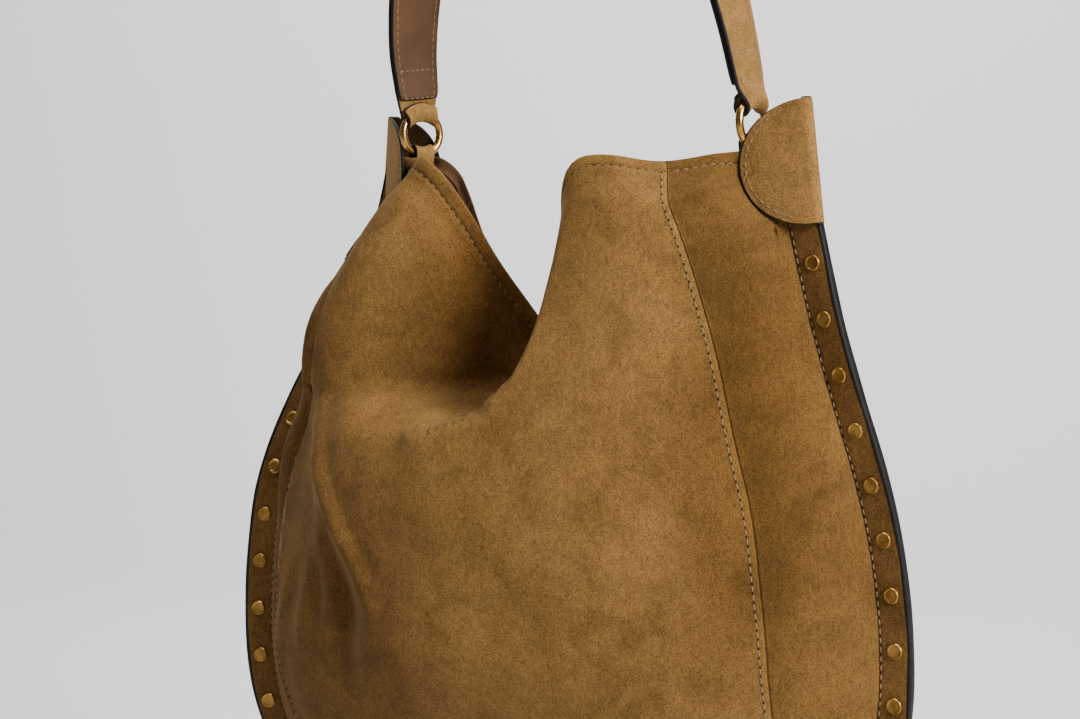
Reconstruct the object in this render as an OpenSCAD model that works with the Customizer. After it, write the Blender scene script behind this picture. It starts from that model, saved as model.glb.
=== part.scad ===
// Slouchy suede hobo bag, hanging by its shoulder strap.
// The origin is the underside of the strap's crown, where it lies over a hook or a shoulder.
// X runs along the line through the two rings, -Y is the front of the bag and +Z is up.

/* [Bag body] */
// Widest distance between the two painted edges
bag_w = 420; // [380:1:440]
// Distance from the ring line down to the bottom edge
bag_drop = 436; // [400:1:460]
// How far the front belly stands out of the seam
front_belly = 60; // [30:1:70]
// How far the back belly stands out of the seam
back_belly = 56; // [30:1:70]
// Thickness of one suede panel
suede_t = 1.6; // [1.2:0.1:2.2]
// Width of the flat studded border outside the stitch line
border_w = 19; // [16:0.5:22]
// Thickness of the reinforcing strip between the two border layers
strip_t = 1.6; // [1:0.1:2.4]

/* [Studs] */
// Diameter of a stud cap
stud_d = 9; // [7:0.5:10]
// Distance between studs along the edge
stud_pitch = 30.7; // [26:0.1:40]
// Distance from the painted edge to the stud centres
stud_inset = 8; // [7:0.5:12]

/* [Rings and ears] */
// Distance between the centres of the two rings
ring_span = 222; // [200:1:240]
// Outside diameter of a ring
ring_d = 30; // [28:1:34]
// Diameter of the ring wire
wire_d = 4.6; // [4:0.2:5.2]
// Distance from a ring centre out to the fold of its ear
ear_reach = 36.5; // [34:0.5:42]
// Height of an ear
ear_h = 67; // [60:1:72]
// Depth of an ear from its fold to its round edge
ear_w = 40; // [36:1:44]

/* [Strap] */
// Height of the strap's crown above the ring line
strap_drop = 218; // [180:1:260]
// Full width of the strap
strap_w = 35; // [28:1:40]
// Width of the strap where it goes through a ring
strap_end_w = 19; // [16:0.5:20]
// Thickness of the outer suede layer of the strap
strap_suede_t = 2.2; // [1.6:0.1:2.6]
// Thickness of the smooth inner layer of the strap
strap_lining_t = 1.8; // [1.2:0.1:2]

/* [Hidden] */

SUEDE = [0.56, 0.42, 0.22];
LEATHER = [0.33, 0.22, 0.13];
BRASS = [0.72, 0.55, 0.25];
EDGE_PAINT = [0.08, 0.08, 0.11];
LINING = [0.16, 0.14, 0.14];

LEFT = -1;
RIGHT = 1;
FRONT = -1;
BACK = 1;

lean = 7;                          // the strap leans this much to the front, in degrees
function yaw(side) = side == RIGHT ? -7 : -24;         // twist of each ring about Z
function ear_open(side) = side == RIGHT ? 12 : 17;     // half angle between an ear's two flaps
crown_yaw = -15;                   // twist of the strap at its crown
ear_tilt = 7;                      // the ears' folds flare out towards the bottom
border_flare = 4;                  // the sides' painted edge stands this far to the front of its stitches
ear_centre_z = -22;                // middle of an ear below its ring centre
ear_t = 1.8;                       // thickness of the ear leather
ear_gap = 5.6;                     // inside width of the ear's fold
loop_t = 1.5;                      // thickness of the ring loops' leather
loop_w = 11;                       // width of the ring loops
clearance = 1.5;                   // play between a ring wire and the leather round it
flex_h = 34;                       // height of the strap's flex line above a ring wire
flex_gap = 1.6;                    // play between the strap and its end at the flex line
lining_t = 0.6;
facing_t = 1.2;
washer_t = 0.8;

wire_r = wire_d / 2;
ring_r = (ring_d - wire_d) / 2;    // radius of the ring at the middle of its wire
strap_t = strap_suede_t + strap_lining_t;
ring_mid = [0, strap_drop * tan(lean), -strap_drop];
$fn = 48;

// ---- numbers and curves ----

function mix(a, b, t) = a + (b - a) * t;
function clamp01(t) = max(0, min(1, t));
function smooth(t) = let (c = clamp01(t)) c * c * (3 - 2 * c);
function unit(v) = v / norm(v);
function last(list) = list[len(list) - 1];
function reversed(list) = [for (i = [len(list) - 1 : -1 : 0]) list[i]];

function bezier(p, t) =
    let (u = 1 - t)
    u * u * u * p[0] + 3 * u * u * t * p[1] + 3 * u * t * t * p[2] + t * t * t * p[3];
function bezier_points(p, n) = [for (i = [0 : n]) bezier(p, i / n)];

function knot(p, i) = p[max(0, min(len(p) - 1, i))];
function spline(p, i, t) =                             // Catmull-Rom between knots i and i + 1
    let (a = knot(p, i - 1), b = knot(p, i), c = knot(p, i + 1), d = knot(p, i + 2))
    0.5 * (2 * b + (c - a) * t + (2 * a - 5 * b + 4 * c - d) * t * t + (3 * b - a - 3 * c + d) * t * t * t);
function spline_points(p, n) =
    [for (i = [0 : len(p) - 2], j = [0 : n - 1]) spline(p, i, j / n), last(p)];

// a path as lookup tables of its coordinates against its share of the length
function lengths(p) =
    [for (i = 0, s = 0; i < len(p); s = s + (i < len(p) - 1 ? norm(p[i + 1] - p[i]) : 0), i = i + 1) s];
function tables(p) =
    let (s = lengths(p))
    [for (axis = [0 : len(p[0]) - 1]) [for (i = [0 : len(p) - 1]) [s[i] / last(s), p[i][axis]]]];
function along(table, s) = [for (axis = table) lookup(s, axis)];

// ---- the painted edge, seen from the front as (x, z) ----

corner_x = ring_span / 2 + ear_reach - 4;              // top corner, hidden inside the ear
corner_z = -15;
side_bezier = [[corner_x, corner_z], [corner_x + 20, -110], [bag_w / 2, -190], [bag_w / 2, -300]];
foot_bezier = [[bag_w / 2, -300], [bag_w / 2, -385], [172, 3 - bag_drop], [96, 1 - bag_drop]];
half_edge = concat(bezier_points(side_bezier, 24), [for (i = [1 : 16]) bezier(foot_bezier, i / 16)],
                   [[0, -bag_drop]]);
function drift(z) = -7 * smooth((corner_z - z) / 150);  // the belly hangs a little to the left
edge_points = concat([for (p = half_edge) [drift(p[1]) - p[0], p[1]]],
                     [for (p = reversed(half_edge)) if (p[0] > 0) [drift(p[1]) + p[0], p[1]]]);
edge_table = tables(edge_points);
edge_length = last(lengths(edge_points));

function edge(s) = along(edge_table, s);
function edge_run(s) = unit(edge(min(1, s + 0.004)) - edge(max(0, s - 0.004)));
function inward(s) = let (t = edge_run(s)) [-t[1], t[0]];
function inset(s, d) = edge(s) + inward(s) * d;

half_width = [for (p = half_edge) [-p[1], p[0] - border_w]];
function from_middle(x, z) = abs(x - drift(z));

// the seam between front and back isn't flat: its left side swings to the front lower down
function seam_y(x, z) =
    let (down = smooth((-40 - z) / 190),
         out = clamp01((from_middle(x, z) - lookup(-z, half_width)) / border_w),
         flare = border_flare * out * smooth((-60 - z) / 60) * smooth((z + 400) / 60))
    mix(mix(15, -38, down), mix(-4, 14, down), (x + bag_w / 2) / bag_w) - flare;
function seam_normal(x, z) =                           // points to the back
    unit([-(seam_y(x + 1, z) - seam_y(x - 1, z)) / 2, 1, -(seam_y(x, z + 1) - seam_y(x, z - 1)) / 2]);
function on_seam(p, off = 0) = [p[0], seam_y(p[0], p[1]), p[1]] + seam_normal(p[0], p[1]) * off;

// ---- the hems of the mouth, from the left corner to the right ----

front_hem = [[-143, 12, -15], [-112, -10, -16], [-96, -30, -17], [-82, -38, -17], [-67, -36, -28],
             [-52, -31, -50], [-38, -27, -76], [-22, -20, -100], [-8, -12, -120], [0, -10, -122],
             [6, -16, -98], [9, -27, -60], [14, -36, -32], [24, -39, -20], [42, -37, -18],
             [72, -28, -22], [103, -12, -17], [143, -5, -15]];
back_hem = [[-143, 18, -15], [-106, 15, -14], [-90, 18, -20], [-80, 22, -52], [-64, 25, -92],
            [-40, 27, -124], [-10, 28, -140], [20, 26, -122], [42, 22, -72], [62, 18, -30],
            [104, 8, -17], [143, -3, -15]];
front_hem_table = tables(spline_points(front_hem, 6));
back_hem_table = tables(spline_points(back_hem, 6));

function hem(face, h) = along(face == FRONT ? front_hem_table : back_hem_table, h);

// where the columns of a panel leave the edge, and where they reach the hem
seam_s = 0.365;                                        // the panel seams meet the bottom edge here
seam_h = 0.163;                                        // and the hem here
seam_bow = 24;                                         // and bow outwards this much between the two
column_map = [[0, 0.05], [seam_s, seam_h], [1 - seam_s, 1 - seam_h], [1, 0.95]];
bow_map = [[0, 0], [0.13, 0], [seam_s, -seam_bow], [1 - seam_s, seam_bow], [0.87, 0], [1, 0]];
side_margin = 5;                                       // and keep this far inside the stitch line

// ---- a panel as a grid of points ----

stitch_z = border_w - bag_drop;
function pillow(face, x, z) =
    let (w = max(1, lookup(-z, half_width)),
         across = pow(max(0, 1 - pow(from_middle(x, z) / w, 3)), 0.5),
         foot = pow(clamp01((z - stitch_z) / 120), 0.5),
         neck = mix(1, 0.5, smooth((z + 190) / 120)))
    (face == FRONT ? front_belly : back_belly) * across * foot * neck;

// rows 0 and 1 are the border, and the rest run from the stitch line up to the hem
function panel_point(face, s, row, rows, off) =
    row < 2 ? on_seam(inset(s, row * border_w), face * (strip_t / 2 + off)) :
    let (r = pow((row - 1) / (rows - 1), 0.9),
         from = inset(s, border_w),
         to = hem(face, lookup(s, column_map)),
         z = mix(from[1], to[2], r),
         free_x = mix(from[0], to[0], r) + lookup(s, bow_map) * sin(180 * r),
         limit = lookup(-z, half_width) - side_margin * smooth(r / 0.15) * smooth((1 - r) / 0.15),
         x = drift(z) + max(-limit, min(limit, free_x - drift(z))),
         belly = seam_y(x, z) + face * (strip_t / 2 + pillow(face, x, z)))
    [x, mix(belly, to[1], smooth((r - 0.6) / 0.4)), z];

function steps(s0, s1, n) = [for (i = [0 : n]) mix(s0, s1, i / n)];
function grid_at(face, stations, rows) =
    [for (s = stations) [for (j = [0 : rows]) panel_point(face, s, j, rows, 0)]];
function grid(face, s0, s1, columns, rows) = grid_at(face, steps(s0, s1, columns), rows);
function grid_normal(g, face, i, j) =
    let (a = g[min(len(g) - 1, i + 1)][j] - g[max(0, i - 1)][j],
         b = g[i][min(len(g[0]) - 1, j + 1)] - g[i][max(0, j - 1)])
    face * unit(cross(b, a));
function moved(g, face, off) =                         // off is along the outward normal
    [for (i = [0 : len(g) - 1]) [for (j = [0 : len(g[0]) - 1]) g[i][j] + off * grid_normal(g, face, i, j)]];
function rows_of(g, j0, j1) = [for (column = g) [for (j = [j0 : j1]) column[j]]];

// a closed sheet between two grids of the same size
module sheet(outer, inner, face) {
    nu = len(outer);
    nv = len(outer[0]);
    count = nu * nv;
    points = [for (g = [outer, inner], column = g, p = column) p];
    rim = concat([for (i = [0 : nu - 2]) i * nv],
                 [for (j = [0 : nv - 2]) (nu - 1) * nv + j],
                 [for (i = [nu - 1 : -1 : 1]) i * nv + nv - 1],
                 [for (j = [nv - 1 : -1 : 1]) j]);
    skin = [for (i = [0 : nu - 2], j = [0 : nv - 2])
            let (a = i * nv + j) each [[a, a + 1, a + nv], [a + 1, a + nv + 1, a + nv]]];
    back = [for (t = skin) [t[0] + count, t[2] + count, t[1] + count]];
    walls = [for (k = [0 : len(rim) - 1])
             let (a = rim[k], b = rim[(k + 1) % len(rim)])
             each [[a, b, b + count], [a, b + count, a + count]]];
    faces = concat(skin, back, walls);
    polyhedron(points, face == FRONT ? faces : [for (f = faces) reversed(f)], convexity = 6);
}

rows = 13;
side_columns = 36;
centre_columns = 12;
seam_play = 0.0004;                                    // keeps neighbouring panels apart along the edge
corner_share = 0.185;                                  // linings and facings leave the top corners free

function inner(list) = [for (i = [1 : len(list) - 2]) list[i]];
middle = steps(seam_s, 1 - seam_s, centre_columns);
stations = concat(steps(0, seam_s, side_columns), inner(middle), steps(1 - seam_s, 1, side_columns));
lined_stations = [for (s = stations) if (s > corner_share && s < 1 - corner_share) s];

module panel(face, s0, s1, columns) {
    g = grid(face, s0, s1, columns, rows);
    color(SUEDE) translate(ring_mid) sheet(moved(g, face, suede_t), g, face);
}

// the lining and the facing stand on the panels' own columns and rows, so that they stay inside them
module lining(face) {
    g = rows_of(grid_at(face, lined_stations, rows), 2, rows - 2);
    color(LINING) translate(ring_mid)
        sheet(moved(g, face, -0.5), moved(g, face, -0.5 - lining_t), face);
}

module hem_facing(face) {
    g = rows_of(grid_at(face, lined_stations, rows), rows - 1, rows);
    inside = -0.5 - washer_t - 0.2;
    color(LEATHER) translate(ring_mid)
        sheet(moved(g, face, inside), moved(g, face, inside - facing_t), face);
}

module slip_pocket() {
    g = rows_of(grid_at(BACK, [for (i = [3 : 9]) middle[i]], rows), 5, 9);
    color(LINING) translate(ring_mid)
        sheet(moved(g, BACK, -2), moved(g, BACK, -3), BACK);
}

// ---- the border's strip and studs ----

module edge_strip() {
    off = strip_t / 2 - 0.05;
    g = [for (s = stations) [for (d = [0, border_w]) on_seam(inset(s, d), off)]];
    h = [for (s = stations) [for (d = [0, border_w]) on_seam(inset(s, d), -off)]];
    color(EDGE_PAINT) translate(ring_mid) sheet(h, g, FRONT);
}

first_stud = 61;                                       // along the edge from the right top corner
stud_count = floor((edge_length - 2 * first_stud) / stud_pitch) + 1;
stud_margin = edge_length - first_stud - (stud_count - 1) * stud_pitch;

// stands its children on the seam at each stud, with their +Z along the seam's normal
module at_studs() {
    for (i = [0 : stud_count - 1]) {
        p = inset((stud_margin + i * stud_pitch) / edge_length, stud_inset);
        n = seam_normal(p[0], p[1]);
        translate(ring_mid + on_seam(p)) rotate([0, acos(n[2]), atan2(n[1], n[0])]) children();
    }
}

module stud_cap() {
    rotate_extrude()
        polygon([[0, 0], [stud_d / 2, 0], [stud_d / 2, 0.9], [stud_d / 2 - 0.5, 1.4], [stud_d / 2 - 1, 1.4],
                 [stud_d / 2 - 1.5, 1.1], [0, 1.1]]);
}
module stud_caps(face) {
    stack = strip_t / 2 + suede_t + 0.3;
    color(BRASS) at_studs() mirror([0, 0, face == FRONT ? 1 : 0]) translate([0, 0, stack]) stud_cap();
}
module stud_posts() {
    stack = strip_t / 2 + suede_t;
    color(BRASS) at_studs() translate([0, 0, -stack]) cylinder(d = 3, h = 2 * stack);
}

// ---- rings, loops and ears ----

// a ring's own frame: +X points out of the bag along its length, +Y to the back
module at_ring(side) {
    translate(ring_mid + [side * ring_span / 2, 0, 0])
        rotate([0, 0, yaw(side)])
        mirror([side == LEFT ? 1 : 0, 0, 0])
        children();
}

module torus(r) {
    rotate([0, 90, 0]) rotate_extrude() translate([ring_r, 0]) circle(r = r);
}

module ring(side) {
    color(BRASS) at_ring(side) torus(wire_r);
}

// leather strip that holds the ring: a sleeve round the bottom of its wire, and a tail sewn into the ear
module ring_loop(side) {
    hole_r = wire_r + clearance;
    tail_top = -ring_r - hole_r + 1;
    color(LEATHER) at_ring(side) difference() {
        union() {
            intersection() {
                torus(hole_r + loop_t);
                translate([-10, -loop_w / 2, -30]) cube([20, loop_w, 24]);
            }
            translate([-1.5, -loop_w / 2, tail_top - 18]) cube([3, loop_w, 18]);
        }
        torus(hole_r);
    }
}

module ear_flap(open) {
    rotate([0, 0, 180 + open])
        translate([0, ear_gap / 2 + ear_t, 0]) rotate([90, 0, 0])
        linear_extrude(ear_t)
        intersection() {
            scale([ear_w / ear_h * 2, 1]) circle(d = ear_h);
            translate([0, -ear_h]) square([ear_w, 2 * ear_h]);
        }
}

// one oval of leather folded round the bag's top corner
module ear(side) {
    open = ear_open(side);
    color(SUEDE) at_ring(side) difference() {
        translate([ear_reach, 0, ear_centre_z]) rotate([0, -ear_tilt, 0]) {
            for (m = [0, 1]) mirror([0, m, 0]) ear_flap(open);
            rotate([0, 0, open - 90]) translate([0, 0, -ear_h / 2])
                rotate_extrude(angle = 180 - 2 * open) translate([ear_gap / 2, 0]) square([ear_t, ear_h]);
        }
        torus(wire_r + 1);                             // room for the ring
    }
}

// ---- strap ----

// a strap end's own frame: its origin is on the ring's wire and +Z goes up the strap
module at_strap_end(side) {
    at_ring(side) rotate([lean, 0, 0]) translate([0, 0, ring_r]) children();
}

function turn_z(a, v) = [v[0] * cos(a) - v[1] * sin(a), v[0] * sin(a) + v[1] * cos(a), v[2]];
function strap_up(side) = turn_z(yaw(side), [0, -sin(lean), cos(lean)]);
function strap_foot(side) =                            // middle of the strap at a flex line
    ring_mid + [side * ring_span / 2, 0, 0] + (ring_r + flex_h + strap_t / 2 + flex_gap) * strap_up(side);

crown_mid = [0, 0, strap_t / 2];
crown_run = [cos(crown_yaw), sin(crown_yaw), 0];
function strap_half(side) =                            // from the foot up to the crown
    [strap_foot(side), strap_foot(side) + 95 * unit(strap_up(side) + [-0.12 * side, -0.06, 0]),
     crown_mid + side * 62 * crown_run, crown_mid];
strap_path = concat(bezier_points(strap_half(LEFT), 30),
                    [for (p = reversed(bezier_points(strap_half(RIGHT), 30))) if (p != crown_mid) p]);
strap_lengths = lengths(strap_path);

function path_run(i) = unit(knot(strap_path, i + 1) - knot(strap_path, i - 1));
function strap_yaw(t) =                                // t runs from the left foot to the right
    lookup(t, [[0, yaw(LEFT)], [0.25, crown_yaw], [0.75, crown_yaw], [1, yaw(RIGHT)]]);
function path_width(i) =
    let (t = strap_lengths[i] / last(strap_lengths), run = path_run(i),
         w = turn_z(strap_yaw(t), [0, 1, 0]))
    unit(w - (w * run) * run);
function strap_width(i) =
    let (foot = min(strap_lengths[i], last(strap_lengths) - strap_lengths[i]))
    mix(strap_end_w + 8, strap_w, smooth(foot / 50));

// in and out are measured from the middle of the strap, and out is the suede side
module strap_layer(out, in) {
    corners = [[-0.5, in], [-0.5, out], [0.5, out], [0.5, in]];
    n = len(strap_path);
    points = [for (i = [0 : n - 1])
              let (w = path_width(i), up = cross(w, path_run(i)))
              each [for (c = corners) strap_path[i] + w * c[0] * strap_width(i) - up * c[1]]];
    sides = [for (i = [0 : n - 2], k = [0 : 3])        // both layers split their shared face the same way
             let (a = 4 * i + k, b = 4 * i + (k + 1) % 4)
             each k == 3 ? [[a, b, a + 4], [b, b + 4, a + 4]] : [[a, b, b + 4], [a, b + 4, a + 4]]];
    caps = [[3, 2, 1, 0], [for (k = [0 : 3]) 4 * (n - 1) + k]];
    polyhedron(points, concat(sides, caps), convexity = 6);
}

module strap_suede() {
    color(SUEDE) strap_layer(strap_t / 2, strap_t / 2 - strap_suede_t);
}
module strap_lining() {
    color(LEATHER) strap_layer(strap_t / 2 - strap_suede_t, -strap_t / 2);
}

lap_h = 11;                                            // the smooth layer stops this far above the wire

// the end tapers from the flex line down to the ring, and its top is rounded about the flex line
module strap_end_outline() {
    foot_w = strap_end_w;
    top_w = strap_end_w + 8;
    intersection() {
        rotate([90, 0, 90]) translate([0, 0, -20]) linear_extrude(40)
            polygon([[-foot_w / 2, -12], [foot_w / 2, -12], [foot_w / 2, 4], [top_w / 2, flex_h + 4],
                     [-top_w / 2, flex_h + 4], [-foot_w / 2, 4]]);
        union() {
            translate([-10, -20, -20]) cube([20, 40, flex_h + 20]);
            translate([0, 20, flex_h]) rotate([90, 0, 0]) cylinder(d = strap_t, h = 40);
        }
    }
}

// suede outside, round the ring's wire and back up to the lap
module strap_end_suede(side) {
    hole_r = wire_r + clearance;
    out = strap_t / 2;
    split = out - strap_suede_t;
    color(SUEDE) at_strap_end(side) difference() {
        intersection() {
            union() {
                translate([0, 0, -ring_r]) torus(hole_r + 1.9);
                rotate([90, 0, 0]) translate([0, 0, -20]) linear_extrude(40)
                    polygon([[-4.8, -5], [-4.8, 1], [-out, lap_h], [split, lap_h], [split, flex_h + out],
                             [out, flex_h + out], [out, lap_h + 3], [4.8, 1], [4.8, -5]]);
            }
            strap_end_outline();
        }
        translate([0, 0, -ring_r]) torus(hole_r);
        translate([0, 0, -ring_r]) rotate([0, 90, 0])
            cylinder(r = ring_r - hole_r + 0.4, h = 30, center = true);
    }
}

module strap_end_lining(side) {
    out = strap_t / 2;
    color(LEATHER) at_strap_end(side) intersection() {
        translate([-out, -20, lap_h]) cube([strap_lining_t, 40, flex_h + out - lap_h]);
        strap_end_outline();
    }
}

// ---- magnetic snap in the middle of the mouth ----

// stands its children on the inside of a panel below the middle of the hem, +Z into the bag
module at_snap(face) {
    g = grid_at(face, [middle[5], middle[6]], rows);
    low = (g[0][rows - 1] + g[1][rows - 1]) / 2;
    high = (g[0][rows] + g[1][rows]) / 2;
    n = -face * unit(cross(high - low, g[1][rows - 1] + g[1][rows] - g[0][rows - 1] - g[0][rows]));
    translate(ring_mid + (low + high) / 2) rotate([0, acos(n[2]), atan2(n[1], n[0])]) children();
}
snap_d = 16;
snap_lift = 0.4 + washer_t + 0.2 + facing_t + 0.4;
module snap_socket() {
    color(BRASS) at_snap(FRONT) translate([0, 0, snap_lift]) difference() {
        cylinder(d = snap_d, h = 3);
        translate([0, 0, 1.4]) cylinder(d = 6.4, h = 4);
    }
}
module snap_stud() {
    color(BRASS) at_snap(BACK) translate([0, 0, snap_lift]) {
        cylinder(d = snap_d, h = 1.6);
        cylinder(d = 6, h = 3);
    }
}
module snap_washers() {
    color(BRASS) for (face = [FRONT, BACK])
        at_snap(face) translate([0, 0, 0.5]) cylinder(d = snap_d - 2, h = washer_t - 0.2);
}

strap_suede();
strap_lining();
strap_end_suede(LEFT);  // strap_end_left_suede
strap_end_lining(LEFT);  // strap_end_left_lining
strap_end_suede(RIGHT);  // strap_end_right_suede
strap_end_lining(RIGHT);  // strap_end_right_lining
ring(LEFT);  // ring_left
ring(RIGHT);  // ring_right
ring_loop(LEFT);  // ring_loop_left
ring_loop(RIGHT);  // ring_loop_right
ear(LEFT);  // ear_left
ear(RIGHT);  // ear_right
panel(FRONT, 0, seam_s - seam_play, side_columns);  // front_left_panel
panel(FRONT, seam_s, 1 - seam_s, centre_columns);  // front_centre_panel
panel(FRONT, 1 - seam_s + seam_play, 1, side_columns);  // front_right_panel
panel(BACK, 0, seam_s - seam_play, side_columns);  // back_left_panel
panel(BACK, seam_s, 1 - seam_s, centre_columns);  // back_centre_panel
panel(BACK, 1 - seam_s + seam_play, 1, side_columns);  // back_right_panel
edge_strip();
stud_caps(FRONT);  // stud_caps_front
stud_caps(BACK);  // stud_caps_back
stud_posts();
hem_facing(FRONT);  // hem_facing_front
hem_facing(BACK);  // hem_facing_back
lining(FRONT);  // lining_front
lining(BACK);  // lining_back
slip_pocket();
snap_socket();
snap_stud();
snap_washers();
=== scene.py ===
"""Soft suede hobo bag: its hanging shape, stitching and materials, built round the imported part."""

import math

import bpy
import numpy as np
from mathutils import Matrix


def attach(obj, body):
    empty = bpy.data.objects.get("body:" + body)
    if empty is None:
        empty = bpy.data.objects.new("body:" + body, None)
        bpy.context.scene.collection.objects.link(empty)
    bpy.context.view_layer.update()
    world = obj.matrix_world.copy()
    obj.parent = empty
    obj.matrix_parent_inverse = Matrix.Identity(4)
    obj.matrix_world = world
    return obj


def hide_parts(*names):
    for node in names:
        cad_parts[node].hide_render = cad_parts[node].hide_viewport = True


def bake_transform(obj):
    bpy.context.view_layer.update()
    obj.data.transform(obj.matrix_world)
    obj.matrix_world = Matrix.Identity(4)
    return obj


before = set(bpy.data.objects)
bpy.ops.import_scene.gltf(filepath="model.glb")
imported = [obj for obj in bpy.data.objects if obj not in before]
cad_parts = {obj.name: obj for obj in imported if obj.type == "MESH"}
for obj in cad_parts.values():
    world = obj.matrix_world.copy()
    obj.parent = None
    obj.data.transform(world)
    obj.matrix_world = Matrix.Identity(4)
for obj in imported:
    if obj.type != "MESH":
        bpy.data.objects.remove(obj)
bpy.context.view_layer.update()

# ---------- dimensions, in millimetres
MM = 0.001
BAG_W = 420.0
BAG_DROP = 436.0  # from the line of the rings to the foot of the border
BORDER_W = 19.0
STRIP_T = 1.6  # strip between the two layers of the border
SUEDE_T = 1.6
RING_SPAN = 222.0  # between the centres of the rings
RING_R = 12.7
WIRE_R = 2.3
EAR_REACH = 36.5  # from a ring's centre out to its ear's fold
EAR_H = 67.0
EAR_W = 40.0
EAR_T = 1.8
EAR_GAP = 5.6
EAR_CENTRE_Z = -22.0
EAR_TILT = 7.0  # all angles are in degrees
STRAP_DROP = 218.0  # from the strap's crown to the line of the rings
STRAP_W = 35.0
STRAP_T = 5.2
FLEX_H = 34.0  # height of the strap's bend over its ring
LEAN = 7.0
CROWN_YAW = -15.0
FLARE = 4.0  # how far the border leans out to the front
FRONT, BACK, LEFT, RIGHT = -1, 1, -1, 1
YAW = {LEFT: -24.0, RIGHT: -7.0}
EAR_OPEN = {LEFT: 17.0, RIGHT: 12.0}
RING_MID = np.array([0.0, STRAP_DROP * math.tan(math.radians(LEAN)), -STRAP_DROP])


def mix(a, b, t):
    return a + (b - a) * t


def smooth(t):
    c = np.clip(t, 0, 1)
    return c * c * (3 - 2 * c)


def unit(v):
    return v / np.maximum(np.linalg.norm(v, axis=-1, keepdims=True), 1e-9)


def bump(t, middle, width):
    return np.exp(-(((t - middle) / width) ** 2))


def turn_z(degrees, v):
    c, s = math.cos(math.radians(degrees)), math.sin(math.radians(degrees))
    v = np.asarray(v, float)
    return np.stack([v[..., 0] * c - v[..., 1] * s, v[..., 0] * s + v[..., 1] * c, v[..., 2]], -1)


def bezier(p, t):
    t = np.asarray(t, float)[:, None]
    a, b, c, d = (np.array(q, float) for q in p)
    u = 1 - t
    return u**3 * a + 3 * u * u * t * b + 3 * u * t * t * c + t**3 * d


def spline(knots, per=12):
    """Catmull-Rom through the knots."""
    k = np.array(knots, float)
    k = np.vstack([k[:1], k, k[-1:]])
    out = []
    for i in range(1, len(k) - 2):
        a, b, c, d = k[i - 1 : i + 3]
        t = np.linspace(0, 1, per, endpoint=False)[:, None]
        out.append(0.5 * (2 * b + (c - a) * t + (2 * a - 5 * b + 4 * c - d) * t**2
                          + (3 * b - a - 3 * c + d) * t**3))
    return np.vstack(out + [k[-1:]])


def run_lengths(p):
    """Length of the line up to each of its points."""
    return np.concatenate([[0], np.cumsum(np.linalg.norm(np.diff(p, axis=0), axis=1))])


class Path:
    """A line that is read by its share of its own length."""

    def __init__(self, points):
        self.points = np.array(points, float)
        run = run_lengths(self.points)
        self.length = run[-1]
        self.share = run / run[-1]

    def __call__(self, s):
        return np.stack([np.interp(s, self.share, axis) for axis in self.points.T], -1)


def waves(x, z, length, seed, count=18):
    """Soft irregular undulation of about the given wavelength, from -1 to 1."""
    rng = np.random.default_rng(seed)
    total = np.zeros(np.broadcast(x, z).shape)
    for _ in range(count):
        angle = rng.uniform(0, math.pi)
        k = 2 * math.pi / (length * rng.uniform(0.7, 1.5))
        total += np.sin(k * (x * math.cos(angle) + z * math.sin(angle)) + rng.uniform(0, 6.28))
    return total / math.sqrt(count)


# ---------- outline, seam and hems, as in the part
CORNER = np.array([RING_SPAN / 2 + EAR_REACH - 4, -15.0])
WIDEST = np.array([BAG_W / 2, -300.0])
half = np.vstack([
    bezier([CORNER, CORNER + [20, -95], WIDEST + [0, 110], WIDEST], np.linspace(0, 1, 97)),
    bezier([WIDEST, WIDEST - [0, 85], [172, 3 - BAG_DROP], [96, 1 - BAG_DROP]], np.linspace(0, 1, 65)[1:]),
    [[0, -BAG_DROP]]])


def drift(z):
    """How far the bag's middle hangs to one side at each height."""
    return -7 * smooth((CORNER[1] - z) / 150)


left_half = np.stack([drift(half[:, 1]) - half[:, 0], half[:, 1]], -1)
right_half = np.stack([drift(half[:, 1]) + half[:, 0], half[:, 1]], -1)[-2::-1]
edge = Path(np.vstack([left_half, right_half]))
EDGE_L = edge.length


def inward(s):
    """Direction into the bag at each share of the edge."""
    run = unit(edge(np.minimum(1, s + 0.004)) - edge(np.maximum(0, s - 0.004)))
    return np.stack([-run[..., 1], run[..., 0]], -1)


def inset(s, d):
    return edge(s) + inward(s) * d


half_width = half[:, 0] - BORDER_W


def half_width_at(z):
    return np.maximum(1, np.interp(-z, -half[:, 1], half_width))


def seam_y(x, z):
    """Depth of the middle of the border, which is where the front and back meet."""
    down = smooth((-40 - z) / 190)
    out = np.clip((np.abs(x - drift(z)) - half_width_at(z)) / BORDER_W, 0, 1)
    flare = FLARE * out * smooth((-60 - z) / 60) * smooth((z + 400) / 60)
    return mix(mix(15, -38, down), mix(-4, 14, down), (x + BAG_W / 2) / BAG_W) - flare


def seam_normal(x, z):
    gx = (seam_y(x + 1, z) - seam_y(x - 1, z)) / 2
    gz = (seam_y(x, z + 1) - seam_y(x, z - 1)) / 2
    return unit(np.stack([-gx, np.ones_like(gx), -gz], -1))


def on_seam(p, off=0.0):
    x, z = p[..., 0], p[..., 1]
    return np.stack([x, seam_y(x, z), z], -1) + seam_normal(x, z) * off


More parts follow.
